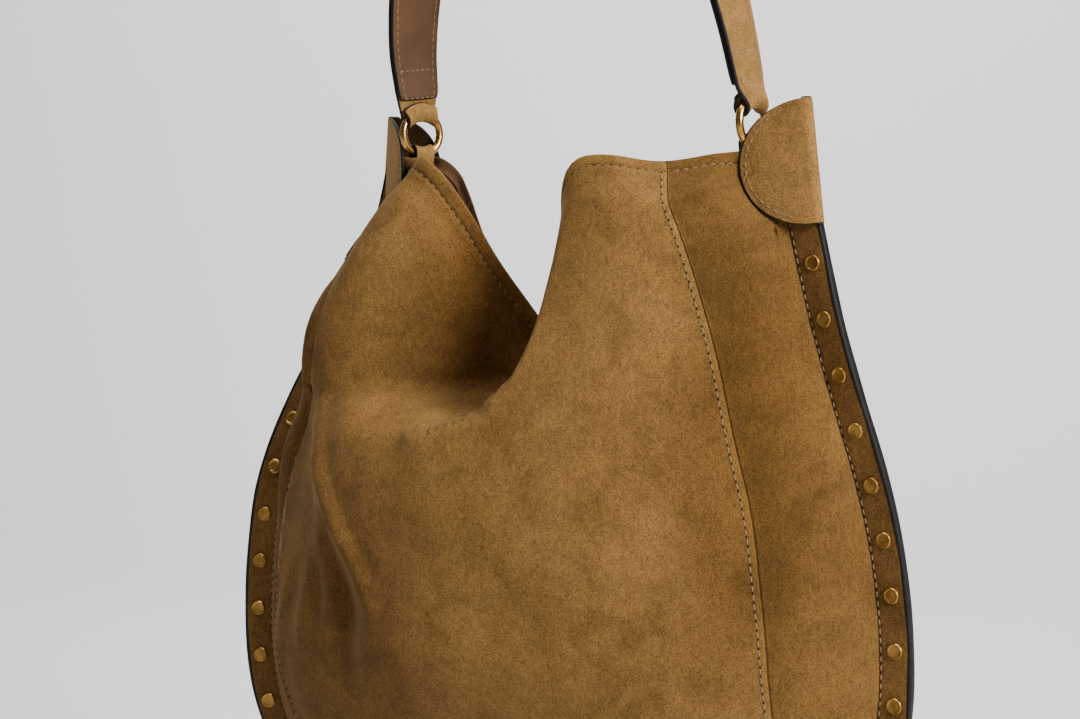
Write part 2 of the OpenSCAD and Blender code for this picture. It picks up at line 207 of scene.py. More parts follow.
# the two edges of the mouth, from the left ear to the right one
FRONT_HEM = [[-143, 12, -15], [-130, 2, -15], [-118, -8, -15], [-103, -11, -16], [-93, -20, -17],
             [-82, -36, -17], [-69, -35, -28], [-56, -27, -50], [-43, -19, -76], [-28, -11, -100],
             [-14, -6, -119], [-3, -6, -122], [5, -14, -98], [9, -28, -60], [14, -37, -32], [24, -40, -20],
             [42, -38, -18], [72, -29, -22], [103, -12, -17], [143, -5, -15]]
BACK_HEM = [[-143, 18, -15], [-112, 15, -14], [-99, 16, -18], [-90, 18, -34], [-79, 22, -66],
            [-63, 25, -102], [-40, 27, -128], [-10, 28, -140], [20, 26, -122], [42, 22, -72],
            [62, 18, -30], [104, 8, -17], [143, -3, -15]]
hems = {FRONT: Path(spline(FRONT_HEM)), BACK: Path(spline(BACK_HEM))}
SEAM_S = 0.365  # share of the edge at which a panel seam starts
# how far along the hem from its near end the left and right seams end, and how far they bow out
SEAM_H = {FRONT: (0.085, 0.163), BACK: (0.163, 0.163)}
SEAM_BOW = {FRONT: (68.0, 24.0), BACK: (24.0, 24.0)}


def hem_share(face, s):
    left, right = SEAM_H[face]
    return np.interp(s, [0, SEAM_S, 1 - SEAM_S, 1], [0.04, left, 1 - right, 0.95])


# ---------- how the suede hangs


def pillow(face, x, z):
    """How far the bag's face stands out of its seam."""
    deep = 62.0 if face == FRONT else 56.0
    narrow = 0.82 if face == FRONT else 0.5
    gentle = 0.72 if face == FRONT else 0.5
    across = np.maximum(0, 1 - (np.abs(x - drift(z)) / half_width_at(z)) ** 2.9) ** gentle
    low = np.clip((z + BAG_DROP - BORDER_W) / 120, 0, 1) ** 0.5
    neck = mix(1, narrow, smooth((z + 190) / 120))
    return deep * across * low * neck


def crease_z(x):
    """The fold that the slumped front makes under the left half of its mouth."""
    return -152 - 3 * ((x + 80) / 70) ** 2 - 7 * bump(x, -22, 32) + 1.2 * np.sin(x / 11.0)


# the right lobe's rounded left edge, as x at each height z
LOBE_EDGE = [[-176, -66], [-170, -46], [-165, -32], [-158, -21], [-148, -12], [-132, -3], [-113, 3],
             [-90, 7], [-58, 12], [-20, 18]]
# depth of the slumped left half behind it, as y at each x
LEFT_DEPTH = [[-175, -42], [-150, -46], [-120, -47], [-95, -43], [-75, -36], [-55, -27], [-35, -18],
              [-15, -11], [10, -8]]
# the fold that runs from the left peak down to the left side: x at each height
LEFT_FOLD = [[-200, -172], [-161, -166], [-124, -155], [-98, -140], [-71, -122], [-41, -102],
             [-18, -82], [0, -74]]
# soft ridges in the front's slack left side: points (x, z), height and width
RIDGES = [
    ([[-152, -160], [-138, -192], [-121, -224], [-103, -252], [-88, -282]], 6.5, 5.2),
    ([[-140, -196], [-135, -238], [-128, -285], [-131, -315]], 4.5, 5.5),
    ([[-140, -240], [-152, -282], [-150, -320]], 4.0, 5.5),
    ([[-172, -262], [-178, -300], [-174, -352]], 3.0, 5.0),
    ([[-116, -262], [-110, -300], [-118, -345]], -3.0, 9.0),
]


def ridge_height(x, z):
    """Sum of the ridges, each with a faint hollow along its sides."""
    total = np.zeros_like(x)
    for points, height, width in RIDGES:
        line = spline(points, 14)
        gap = np.full(x.shape, 1e9)
        share = np.zeros(x.shape)
        for i, (px, pz) in enumerate(line):
            d = np.hypot(x - px, z - pz)
            share = np.where(d < gap, i / (len(line) - 1), share)
            gap = np.minimum(gap, d)
        fade = np.sin(np.pi * np.clip(0.12 + 0.88 * share, 0, 1)) ** 0.7
        total += height * fade * (bump(gap, 0, width) - 0.35 * bump(gap, 0, 2.4 * width))
    return total


def soft_ramp(t):
    """Zero below zero and t above it, with a soft corner."""
    return np.log1p(np.exp(np.clip(t, -30, 30)))


def front_y(x, z):
    """Depth of the front's inner surface, with its pocket, fold and ridges."""
    seam = seam_y(x, z) - STRIP_T / 2
    full = seam - pillow(FRONT, x, z)
    edge_x = np.interp(z, *np.transpose(LOBE_EDGE))
    zc = crease_z(x)
    above = z - zc
    # the pocket that the mouth's left half sinks into
    to_left = smooth((edge_x - x) / 11)
    under = 2.5 * soft_ramp(-above / 2.5)
    pocket = to_left * np.exp(-under / 10.5)
    # the slumped half: its depth, the hollow above the fold and the lobe's flank
    lobe_t = np.clip(above / np.maximum(1, -17 - zc), 0, 1)
    want = np.interp(x, *np.transpose(LEFT_DEPTH))
    want -= 11 * np.sin(np.pi * lobe_t ** 0.8) * smooth((-15 - x) / 70)
    want += 17 * (1 - lobe_t) ** 2.2 * smooth((x + 150) / 60) * smooth((20 - x) / 60)
    want += 10 * np.sin(np.pi * lobe_t) * bump(x, -34, 26)
    fold_x = np.interp(z, *np.transpose(LEFT_FOLD))
    want = want + 11.5 * soft_ramp((fold_x - x) / 5 - 1.0)
    rise = smooth((half_width_at(z) - np.abs(x - drift(z))) / 9)
    upper = np.minimum(seam, mix(seam, want, rise))
    y = mix(full, upper, pocket)
    y -= ridge_height(x, z) * smooth((-150 - z) / 12)
    # left of the first ridge the slack side falls away
    ridge_x = np.interp(z, [-282, -252, -224, -192, -160], [-88, -103, -121, -138, -152])
    fall = smooth((ridge_x - x) / 24) * smooth((-162 - z) / 22) * smooth((z + 335) / 70)
    y += 9 * fall * smooth(pillow(FRONT, x, z) / 32)
    # small puckers where the fold dies out
    pucker = bump(z, zc + 9, 8) * bump(x, -38, 16)
    y += 1.1 * pucker * np.sin((x + 2.2 * z) / 4.5)
    return y + 1.1 * waves(x, z, 95, 3) * smooth(pillow(FRONT, x, z) / 30)


def back_y(x, z):
    """Depth of the back's inner surface, with one sag under the mouth."""
    y = seam_y(x, z) + STRIP_T / 2 + pillow(BACK, x, z)
    y += 2.2 * waves(x, z, 120, 8) * smooth(pillow(BACK, x, z) / 30)
    sag = bump(z, -175 - 0.1 * x, 26) * bump(x, 10, 70)
    return y - 12 * sag


def ring_frame(side, p):
    """From a ring's own frame (+X out of the bag, +Y back) to the middle of the ring line."""
    p = np.asarray(p, float) * np.array([side, 1, 1])
    return turn_z(YAW[side], p) + np.array([side * RING_SPAN / 2, 0.0, 0.0])


def under_ears(face, x, y, z):
    """Keeps a face of the bag inside the flaps of its two ears."""
    for side in (LEFT, RIGHT):
        o = math.radians(EAR_OPEN[side])
        r = EAR_GAP / 2
        # the flap as a straight line in plan, from the ear's fold to its round edge
        near = [EAR_REACH + r * math.sin(o), face * r * math.cos(o), 0]
        far = [near[0] - EAR_W * math.cos(o), near[1] + face * EAR_W * math.sin(o), 0]
        a, b = ring_frame(side, [near, far])
        share = (x - a[0]) / (b[0] - a[0])
        flap = mix(a[1], b[1], np.clip(share, -0.2, 1.3))
        rho = np.hypot(np.clip(share, 0, None), (z - EAR_CENTRE_Z) / (EAR_H / 2))
        held = smooth((1.3 - rho) / 0.3)
        limit = flap - face * (SUEDE_T + 1.0)
        kept = np.maximum(y, limit) if face == FRONT else np.minimum(y, limit)
        y = mix(y, kept, held)
    return y


def stations():
    """Columns round the edge, closer together at the two panel seams."""
    base = np.linspace(0, 1, 241)
    near = np.array([-7, -4.5, -3, -2, -1.2, -0.6, 0, 0.6, 1.2, 2, 3, 4.5, 7]) / EDGE_L
    extra = np.concatenate([SEAM_S + near, 1 - SEAM_S + near])
    keep = [s for s in base if min(abs(s - SEAM_S), abs(s - 1 + SEAM_S)) > 8.5 / EDGE_L]
    return np.sort(np.concatenate([keep, extra]))


S = stations()
# rows of the grid: distances from the painted edge, from the stitch line and from the hem
FLANGE_D = np.array([0, 0.8, 2.5, 5, 8, 11, 14, 16.5, 17.8, 18.6])
FOOT_D = np.array([0, 0.7, 1.6, 3, 5, 8, 12, 17, 23])
HEM_D = np.array([17, 13, 10, 8, 7, 6.4, 6, 5.6, 5, 4, 2.6, 1.3, 0.4, 0])
MIDDLE = 92  # rows between them
HEM_STITCH = 6.0


def surface(face):
    """Grid of points: one column per station, from the painted edge up to the hem."""
    start = inset(S, BORDER_W)
    hem = hems[face](hem_share(face, S))
    length = np.linalg.norm(hem[:, [0, 2]] - start, axis=1)
    scale = np.minimum(1, length / 70)
    feet = FOOT_D[None] * scale[:, None] / length[:, None]
    tops = 1 - HEM_D[None] * scale[:, None] / length[:, None]
    t = np.linspace(0, 1, MIDDLE + 2)[1:-1] ** 0.95
    middle = mix(feet[:, -1:], tops[:, :1], t[None])
    r = np.concatenate([feet, middle, tops], 1)
    bow_left, bow_right = SEAM_BOW[face]
    bow = np.interp(S, [0, 0.13, SEAM_S, 1 - SEAM_S, 0.87, 1], [0, 0, -bow_left, bow_right, 0, 0])[:, None]
    z = mix(start[:, 1:2], hem[:, 2:3], r)
    slack = (S < 0.5)[:, None] & (face == FRONT)
    climb = np.clip(r, 0, 1)
    arch = np.where(slack, np.sin(np.pi * climb**1.3) ** 0.8, np.sin(np.pi * climb))
    x = mix(start[:, :1], hem[:, :1], r) + bow * arch
    margin = 1.0 + 70 * np.minimum(0.12, np.minimum(S, 1 - S))[:, None]
    limit = half_width_at(z) - margin * smooth(r / 0.15) * smooth((1 - r) / 0.15)
    x = drift(z) + np.clip(x - drift(z), -limit, limit)
    y = (front_y if face == FRONT else back_y)(x, z)
    d_hem = (1 - r) * length[:, None]
    reach = {FRONT: 26.0, BACK: 60.0}[face]
    y = mix(y, hem[:, 1:2], smooth(1 - d_hem / np.minimum(reach, 0.7 * length)[:, None]))
    y = under_ears(face, x, y, z)
    # the slack sides bulge out over the stitch line
    out = -inward(S)
    d = np.hypot(x - start[:, :1], z - start[:, 1:2])
    push_by = {FRONT: (9.0, 0.0), BACK: (8.0, 8.0)}[face]
    push = np.where(S < 0.5, push_by[0], push_by[1])[:, None] * smooth((-50 - z) / 50)
    push = push * (smooth((z + 245) / 60) if face == FRONT else smooth((z + 400) / 110))
    g = push * (d / 14) * np.exp(1 - d / 14)
    x = x + out[:, :1] * g
    z = z + out[:, 1:2] * g
    body = np.stack([x, y, z], -1)
    flange = edge(S)[:, None] + inward(S)[:, None] * FLANGE_D[None, :, None]
    return np.concatenate([on_seam(flange, face * STRIP_T / 2), body], 1)


def finished(face):
    """(inner surface points, outward normals) of the whole face, with its sewn relief."""
    p = surface(face)
    n = face * unit(np.cross(np.gradient(p, axis=1), np.gradient(p, axis=0)))
    relief = np.zeros(p.shape[:2])
    # folded hem: a double layer, drawn in along its stitches
    relief[:, -len(HEM_D) :] += (0.7 * smooth((9.5 - HEM_D) / 2.5) - bump(HEM_D, HEM_STITCH, 0.9)
                                 - 0.5 * smooth((1.2 - HEM_D) / 1.2))
    # panel seams, fainter on the border
    on_border = np.arange(p.shape[1]) < len(FLANGE_D)
    for middle in (SEAM_S, 1 - SEAM_S):
        gap = np.abs(S - middle) * EDGE_L
        groove = -0.5 * bump(gap, 0, 0.7) + 0.3 * bump(gap, 2.6, 1.6)
        relief += groove[:, None] * np.where(on_border, 0.3, 1.0)
    # stitch line of the border
    border = np.zeros(p.shape[1])
    border[1 : len(FLANGE_D) - 2] = 0.25
    border[len(FLANGE_D) - 2 : len(FLANGE_D) + 2] = [-0.2, -0.6, -0.6, -0.2]
    return p + n * (relief + border)[..., None], n


# ---------- meshes


def to_world(p):
    return (np.asarray(p, float) + RING_MID) * MM


def make(name, points, faces, materials, kinds=None, body="bag", replaces=(), slot=None, sharp=False):
    """A mesh object from points in mm. kinds is the material slot of each face."""
    mesh = bpy.data.meshes.new(name)
    mesh.from_pydata(to_world(points).tolist(), [], [list(map(int, f)) for f in faces])
    for m in materials:
        mesh.materials.append(m)
    if kinds is not None:
        mesh.polygons.foreach_set("material_index", np.asarray(kinds, np.int32))
    mesh.polygons.foreach_set("use_smooth", np.full(len(mesh.polygons), not sharp))
    mesh.validate()
    mesh.update()
    obj = bpy.data.objects.new(name, mesh)
    bpy.context.scene.collection.objects.link(obj)
    if body:
        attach(obj, body)
    if replaces:
        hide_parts(*replaces)
    return obj


def closed_sheet(outer, inner, round_by=0.45):
    """Points, faces and kinds (0 outer, 1 inner, 2 rim) of a sheet with softly rounded rims."""
    nu, nv = outer.shape[:2]
    index = np.arange(nu * nv).reshape(nu, nv)
    a, b, c, d = index[:-1, :-1], index[1:, :-1], index[1:, 1:], index[:-1, 1:]
    skin = np.stack([a, b, c, d], -1).reshape(-1, 4)
    middle = len(skin) // 2
    f = skin[middle]
    flat = outer.reshape(-1, 3)
    facing = np.dot(np.cross(flat[f[1]] - flat[f[0]], flat[f[3]] - flat[f[0]]),
                    (outer - inner).reshape(-1, 3)[f[0]])
    if facing < 0:
        skin = skin[:, ::-1]
    back = skin[:, ::-1] + nu * nv
    rim = np.concatenate([index[:-1, 0], index[-1, :-1], index[:0:-1, -1], index[0, :0:-1]])
    inside = np.concatenate([index[:-1, 1], index[-2, :-1], index[:0:-1, -2], index[1, :0:-1]])
    flat_in = inner.reshape(-1, 3)
    half_t = np.linalg.norm(flat[rim] - flat_in[rim], axis=1)[:, None]
    out = unit(flat[rim] - flat[inside])
    ridge = (flat[rim] + flat_in[rim]) / 2 + out * half_t * round_by
    points = np.vstack([flat, flat_in, ridge])
    k = np.arange(len(rim))
    k2 = (k + 1) % len(rim)
    base = 2 * nu * nv
    upper = np.stack([rim[k], base + k, base + k2, rim[k2]], -1)
    lower = np.stack([base + k, rim[k] + nu * nv, rim[k2] + nu * nv, base + k2], -1)
    if facing < 0:
        upper, lower = upper[:, ::-1], lower[:, ::-1]
    faces = np.vstack([skin, back, upper, lower])
    kinds = np.concatenate([np.zeros(len(skin)), np.ones(len(back)), np.full(2 * len(rim), 2)])
    return points, faces, kinds


def sheet_piece(name, outer, inner, materials, round_by=0.45, **given):
    """A mesh object from the two faces of a sheet; its materials are for outside, inside and rim."""
    points, faces, kinds = closed_sheet(outer, inner, round_by)
    return make(name, points, faces, materials, kinds, **given)


def swept(points, normals, across, profile):
    """Tube along a line; the profile is a closed loop of (across, normal) offsets for each point."""
    n, k = profile.shape[:2]
    grid = points[:, None] + across[:, None] * profile[..., :1] + normals[:, None] * profile[..., 1:]
    index = np.arange(n * k).reshape(n, k)
    a, b = index[:-1], index[1:]
    faces = np.stack([a, b, np.roll(b, -1, 1), np.roll(a, -1, 1)], -1).reshape(-1, 4).tolist()
    faces.append(index[0].tolist())
    faces.append(index[-1, ::-1].tolist())
    return grid.reshape(-1, 3), faces


def rounded_bar(width, thick, radius, corner):
    """Outline of a bar with round corners."""
    out = []
    for cx, cy, start in ((1, 1, 0), (-1, 1, 90), (-1, -1, 180), (1, -1, 270)):
        for i in range(corner + 1):
            a = math.radians(start + 90 * i / corner)
            out.append([cx * (width / 2 - radius) + radius * math.cos(a),
                        cy * (thick / 2 - radius) + radius * math.sin(a)])
    return out


def read_at(run, values, places):
    """Values along a line, read at the given lengths."""
    return np.stack([np.interp(places, run, column) for column in values.T], -1)


def thread(line, normals, pitch, length, radius=0.42, lift=0.1):
    """Points and faces of a row of stitches along a line."""
    run = run_lengths(line)
    centres = np.arange(pitch / 2, run[-1] - pitch / 4, pitch)
    at = read_at(run, line, centres)
    t = unit(read_at(run, line, centres + 0.6) - read_at(run, line, centres - 0.6))
    b = unit(np.cross(unit(read_at(run, normals, centres)), t))
    n = unit(np.cross(t, b))
    # a stitch is a small spindle, round in section, whose ends dip into the suede
    steps, sides = np.linspace(-1, 1, 7), 6
    ring = np.linspace(0, 2 * math.pi, sides, endpoint=False)
    thick = (radius * np.sqrt(np.maximum(0.12, 1 - np.abs(steps) ** 3)))[:, None]
    dip = (lift - 1.2 * radius * np.abs(steps) ** 3)[:, None]
    pts = (at[:, None, None] + t[:, None, None] * (steps * length / 2)[None, :, None, None]
           + n[:, None, None] * (dip + thick * np.sin(ring) * 0.8)[None, ..., None]
           + b[:, None, None] * (thick * np.cos(ring))[None, ..., None])
    count, m = len(at), len(steps)
    index = np.arange(m * sides).reshape(m, sides)
    low, high = index[:-1], index[1:]
    one = np.stack([low, np.roll(low, -1, 1), np.roll(high, -1, 1), high], -1).reshape(-1, 4)
    faces = (one[None] + (np.arange(count) * m * sides)[:, None, None]).reshape(-1, 4)
    return pts.reshape(-1, 3), faces


def holes(line, normals, pitch, radius=0.55):
    """Points and faces of dark discs at the needle holes between the stitches of thread(): painted shade in
    the holes.
    """
    run = run_lengths(line)
    centres = np.arange(0.0, run[-1], pitch)
    at = read_at(run, line, centres)
    n = unit(read_at(run, normals, centres))
    b = unit(np.cross(n, unit(read_at(run, line, centres + 0.6) - at + 1e-6)))
    t = np.cross(b, n)
    ring = np.linspace(0, 2 * math.pi, 8, endpoint=False)
    flat = (t[:, None] * (radius * 1.3 * np.cos(ring))[None, :, None]
            + b[:, None] * (radius * np.sin(ring))[None, :, None])
    top = at[:, None] + flat + n[:, None] * 0.10
    low = at[:, None] + flat - n[:, None] * 0.35
    points = np.concatenate([top, low], 1).reshape(-1, 3)
    around = [[k, k + 8, (k + 1) % 8 + 8, (k + 1) % 8] for k in range(8)]
    one = [list(range(8)), list(range(15, 7, -1))] + around
    faces = [[16 * i + v for v in face] for i in range(len(at)) for face in one]
    return points, faces


def many(parts):
    """Joins several sets of points and faces into one."""
    points, faces, at = [], [], 0
    for p, f in parts:
        points.append(p)
        faces += [[int(i) + at for i in face] for face in f]
        at += len(p)
    return np.vstack(points), faces


# ---------- materials
WHITE = (1.0, 1.0, 1.0)


class Look:
    """A new material, with short ways to add to its node tree. An underscore in a name is a space."""

    def __init__(self, name):
        self.material = bpy.data.materials.new(name)
        self.material.use_nodes = True
        self.shader = self.material.node_tree.nodes["Principled BSDF"]
        self.coords = self.node("TexCoord").outputs["Object"]

    def fill(self, node, inputs):
        for name, value in inputs.items():
            node.inputs[name.replace("_", " ")].default_value = value
        return node

    def node(self, kind, **inputs):
        return self.fill(self.material.node_tree.nodes.new("ShaderNode" + kind), inputs)

    def link(self, source, target):
        self.material.node_tree.links.new(source, target)

    def finish(self, colour, **inputs):
        """Gives the shader its colour and its constant values."""
        self.link(colour, self.shader.inputs["Base Color"])
        self.fill(self.shader, inputs)
        return self.material

    def texture(self, kind, scale, detail, coords=None, **inputs):
        node = self.node("Tex" + kind, Scale=scale, Detail=detail, **inputs)
        self.link(self.coords if coords is None else coords, node.inputs["Vector"])
        return node

    def noise(self, scale, detail, coords=None, distortion=0.0):
        return self.texture("Noise", scale, detail, coords, Distortion=distortion).outputs["Fac"]

    def ramp(self, source, *stops):
        """Colour ramp; each stop is a place and a colour."""
        node = self.node("ValToRGB")
        while len(node.color_ramp.elements) < len(stops):
            node.color_ramp.elements.new(0.5)
        for element, (place, colour) in zip(node.color_ramp.elements, stops):
            element.position = place
            element.color = (*colour, 1)
        self.link(source, node.inputs["Fac"])
        return node.outputs["Color"]

    def times(self, a, b, factor=1.0):
        """Colour a multiplied by colour b, as far as the factor says."""
        node = self.node("Mix")
        node.data_type = "RGBA"
        node.blend_type = "MULTIPLY"
        if isinstance(factor, float):
            node.inputs["Factor"].default_value = factor
        else:
            self.link(factor, node.inputs["Factor"])
        for socket, value in zip([i for i in node.inputs if i.type == "RGBA"], (a, b)):
            if isinstance(value, tuple):
                socket.default_value = (*value, 1)
            else:
                self.link(value, socket)
        return [o for o in node.outputs if o.type == "RGBA"][0]

    def spread(self, source, low, high, start=0.0, end=1.0, kind="LINEAR"):
        """A value that goes from low to high while its source goes from start to end."""
        node = self.node("MapRange", From_Min=start, From_Max=end, To_Min=low, To_Max=high)
        node.interpolation_type = kind
        self.link(source, node.inputs["Value"])
        return node.outputs["Result"]

    def vector(self, operation, source, by=None):
        node = self.node("VectorMath")
        node.operation = operation
        self.link(source, node.inputs[0])
        if by is not None:
            node.inputs[1].default_value = tuple(by)
        return node

    def bumps(self, *heights):
        """Bumps laid on each other; each is a height socket, a strength and a distance."""
        last = None
        for socket, strength, distance in heights:
            node = self.node("Bump", Strength=strength, Distance=distance)
            self.link(socket, node.inputs["Height"])
            if last is not None:
                self.link(last, node.inputs["Normal"])
            last = node.outputs["Normal"]
        self.link(last, self.shader.inputs["Normal"])


# soft spots of painted light and shade in the suede's colour: painted shade in the pocket and low on the
# left, a painted highlight on the shelf under the fold, painted light at the top of the right border, a
# darker patch right of the right seam; centre and reach in mm, and tone
PAINTED_LIGHT_SPOTS = [
    ((-42, -25, -102), (62, 80, 92), (0.52, 0.46, 0.36)),
    ((-92, -52, -168), (66, 60, 17), (1.22, 1.20, 1.14)),
    ((-100, -60, -330), (115, 120, 180), (0.80, 0.77, 0.70)),
    ((168, -20, -120), (60, 80, 80), (1.3, 1.3, 1.3)),
    ((122, -30, -190), (52, 90, 190), (0.68, 0.64, 0.56)),
]


def painted_light_and_shade(look):
    """Tone of the soft spots: painted shade in the pocket and low on the left, painted light on the shelf and
    the top of the right border, and a darker patch by the right seam.
    """
    tone = WHITE
    for centre, size, colour in PAINTED_LIGHT_SPOTS:
        apart = look.vector("SUBTRACT", look.coords, to_world(centre))
        scaled = look.vector("DIVIDE", apart.outputs["Vector"], np.array(size) * MM)
        far = look.vector("LENGTH", scaled.outputs["Vector"])
        share = look.spread(far.outputs["Value"], 1.0, 0.0, 0.25, 1.0, "SMOOTHSTEP")
        tone = look.times(tone, colour, share)
    return tone


def painted_falloff_shade(look):
    """Painted shade: the suede's colour gets darker low on the belly and to the left, where the light falls
    off.
    """
    apart = look.node("SeparateXYZ")
    look.link(look.coords, apart.inputs["Vector"])
    height = look.spread(apart.outputs["Z"], 0.0, 1.0, -0.62, -0.26)
    low = look.ramp(height, (0.0, (0.80, 0.80, 0.80)), (1.0, (1.06, 1.06, 1.06)))
    across = look.spread(apart.outputs["X"], 0.0, 1.0, -0.16, 0.06)
    left = look.ramp(across, (0.0, (0.74, 0.73, 0.71)), (1.0, WHITE))
    return look.times(low, left)


def suede(name, dark, mid, light, sheen=0.22, painted_shade_and_wear=False):
    look = Look(name)
    patches = look.noise(14, 4, distortion=0.6)
    clouds = look.noise(46, 5, distortion=0.9)
    mapping = look.node("Mapping", Scale=(1.0, 1.0, 0.5), Rotation=(0.0, 0.45, 0.3))
    look.link(look.coords, mapping.inputs["Vector"])
    brushed = look.noise(420, 4, mapping.outputs["Vector"])
    grain = look.noise(1150, 3)
    colour = look.ramp(patches, (0.3, dark), (0.5, mid), (0.72, light))
    cloud = look.ramp(clouds, (0.28, (0.72, 0.7, 0.66)), (0.5, WHITE), (0.76, (1.16, 1.14, 1.08)))
    nap = look.ramp(brushed, (0.34, (0.78, 0.77, 0.74)), (0.62, (1.13, 1.12, 1.1)))
    fleck = look.ramp(grain, (0.36, (0.42, 0.40, 0.36)), (0.5, WHITE), (0.64, (1.55, 1.5, 1.4)))
    for layer_colour, factor in ((cloud, 0.85), (nap, 0.6), (fleck, 0.6)):
        colour = look.times(colour, layer_colour, factor)
    # painted shade: darker low on the belly and to the left
    if painted_shade_and_wear:
        colour = look.times(colour, painted_falloff_shade(look))
    # painted light and shade in soft spots
    colour = look.times(colour, painted_light_and_shade(look))
    look.bumps((grain, 0.5, 0.0004), (brushed, 0.25, 0.0004), (clouds, 0.2, 0.001))
    return look.finish(colour, Roughness=0.96, Specular_IOR_Level=0.12, Sheen_Weight=sheen,
                       Sheen_Roughness=0.42, Sheen_Tint=(0.95, 0.68, 0.36, 1))


def leather(name, dark, light, roughness):
    look = Look(name)
    patches = look.noise(60, 4)
    cells = look.texture("Voronoi", 900, 0).outputs["Distance"]
    fine = look.noise(2200, 2)
    base = look.ramp(patches, (0.35, dark), (0.68, light))
    pores = look.ramp(cells, (0.0, (0.72, 0.7, 0.68)), (0.4, WHITE))
    look.link(look.spread(patches, roughness - 0.1, roughness + 0.14), look.shader.inputs["Roughness"])
    look.bumps((cells, 0.3, 0.0003), (fine, 0.2, 0.0002))
    return look.finish(look.times(base, pores, 0.5), Specular_IOR_Level=0.22)


def brass(name, dark, light, roughness=0.22):
    look = Look(name)
    tarnish = look.noise(130, 5, distortion=0.5)
    look.link(look.spread(tarnish, roughness + 0.14, roughness - 0.04), look.shader.inputs["Roughness"])
    look.bumps((look.noise(1800, 3), 0.08, 0.0001))
    return look.finish(look.ramp(tarnish, (0.3, dark), (0.6, light)), Metallic=1.0)


def paint(name, dark, light):
    look = Look(name)
    # uneven wear in the edge paint's tone
    painted_shade_and_wear = look.noise(240, 4)
    look.bumps((painted_shade_and_wear, 0.35, 0.0004))
    return look.finish(look.ramp(painted_shade_and_wear, (0.35, dark), (0.7, light)), Roughness=0.6, Specular_IOR_Level=0.25)


def cotton(name, dark, light, scale):
    look = Look(name)
    bands = []
    for direction in ("X", "Z"):
        wave = look.texture("Wave", scale, 1, Distortion=0.4)
        wave.bands_direction = direction
        bands.append(wave.outputs["Color"])
    weave = look.times(*bands)
    look.bumps((weave, 0.35, 0.0003))
    return look.finish(look.ramp(weave, (0.1, dark), (0.7, light)), Roughness=0.85, Sheen_Weight=0.15)


SUEDE = suede("suede_olive", (0.190, 0.098, 0.028), (0.225, 0.118, 0.034), (0.262, 0.142, 0.044))
# the centre panels get the painted shade low on the belly and to the left
SUEDE_CENTRE = suede("suede_centre", (0.180, 0.093, 0.026), (0.218, 0.114, 0.032), (0.255, 0.138, 0.042),
                     painted_shade_and_wear=True)
SUEDE_SIDE = suede("suede_side", (0.100, 0.050, 0.0125), (0.126, 0.064, 0.016), (0.150, 0.078, 0.021), 0.12)
SUEDE_EDGE = suede("suede_border", (0.100, 0.050, 0.013), (0.128, 0.065, 0.0175), (0.155, 0.081, 0.023), 0.08)
SUEDE_IN = suede("suede_flesh_side", (0.060, 0.034, 0.014), (0.085, 0.050, 0.021), (0.11, 0.066, 0.03), 0.15)
LEATHER = leather("leather_brown", (0.062, 0.027, 0.0085), (0.090, 0.041, 0.0145), 0.6)
PAINT = paint("edge_paint", (0.0035, 0.003, 0.003), (0.009, 0.0075, 0.007))
BRASS = brass("aged_brass", (0.34, 0.17, 0.035), (0.62, 0.36, 0.10))
BRASS_DULL = brass("aged_brass_studs", (0.22, 0.11, 0.02), (0.44, 0.25, 0.065), 0.34)
THREAD = cotton("thread", (0.15, 0.09, 0.04), (0.36, 0.25, 0.13), 3000)
# dark discs for the needle holes: painted shade
HOLE_SHADE = suede("needle_hole", (0.02, 0.011, 0.004), (0.03, 0.016, 0.006), (0.04, 0.022, 0.008), 0.0)
LINING = cotton("lining_weave", (0.012, 0.010, 0.014), (0.04, 0.035, 0.04), 700)

# ---------- camera, lights and stage
AZIMUTH = math.radians(32.0)
PITCH = math.radians(3.8617)
LENS = 61.233  # on a sensor 36 mm wide
AIM = np.array([0, 0, -0.42])


def placed(name, data, location, rotation):
    obj = bpy.data.objects.new(name, data)
    obj.location = location
    obj.rotation_euler = rotation
    bpy.context.scene.collection.objects.link(obj)
    return obj


camera_data = bpy.data.cameras.new("camera")
camera_data.lens = LENS
camera_data.sensor_width = 36
camera_data.clip_end = 20
bpy.context.scene.camera = placed("camera", camera_data, to_world([548.2, -918.6, -61.8]),
                                  (math.pi / 2 - PITCH, 0, AZIMUTH))


def area_light(name, location, rotation, size, power, colour=WHITE):
    data = bpy.data.lights.new(name, "AREA")
    data.shape = "RECTANGLE"
    data.size, data.size_y = size
    data.energy = power
    data.color = colour
    placed(name, data, location, rotation)


def aimed_light(name, azimuth, elevation, distance, *looks):
    """An area light that faces the bag's middle."""
    a, e = math.radians(azimuth), math.radians(elevation)
    away = np.array([math.sin(a) * math.cos(e), -math.cos(a) * math.cos(e), math.sin(e)])
    area_light(name, AIM + away * distance, (math.pi / 2 - e, 0, a), *looks)


aimed_light("key", 74, 24, 2.0, (0.6, 0.8), 66, (1.0, 0.985, 0.96))
aimed_light("top", 20, 74, 1.6, (0.7, 0.7), 14)
aimed_light("fill", -20, 20, 3.0, (2.2, 2.0), 1.5)
# lights the backdrop from behind the bag, out of the picture
area_light("wall", (0.35 - 0.5 * math.sin(AZIMUTH), 0.5 * math.cos(AZIMUTH) + 0.2, 1.6),
           (math.radians(62), 0, AZIMUTH), (3.0, 1.2), 122, (1.0, 0.985, 0.998))


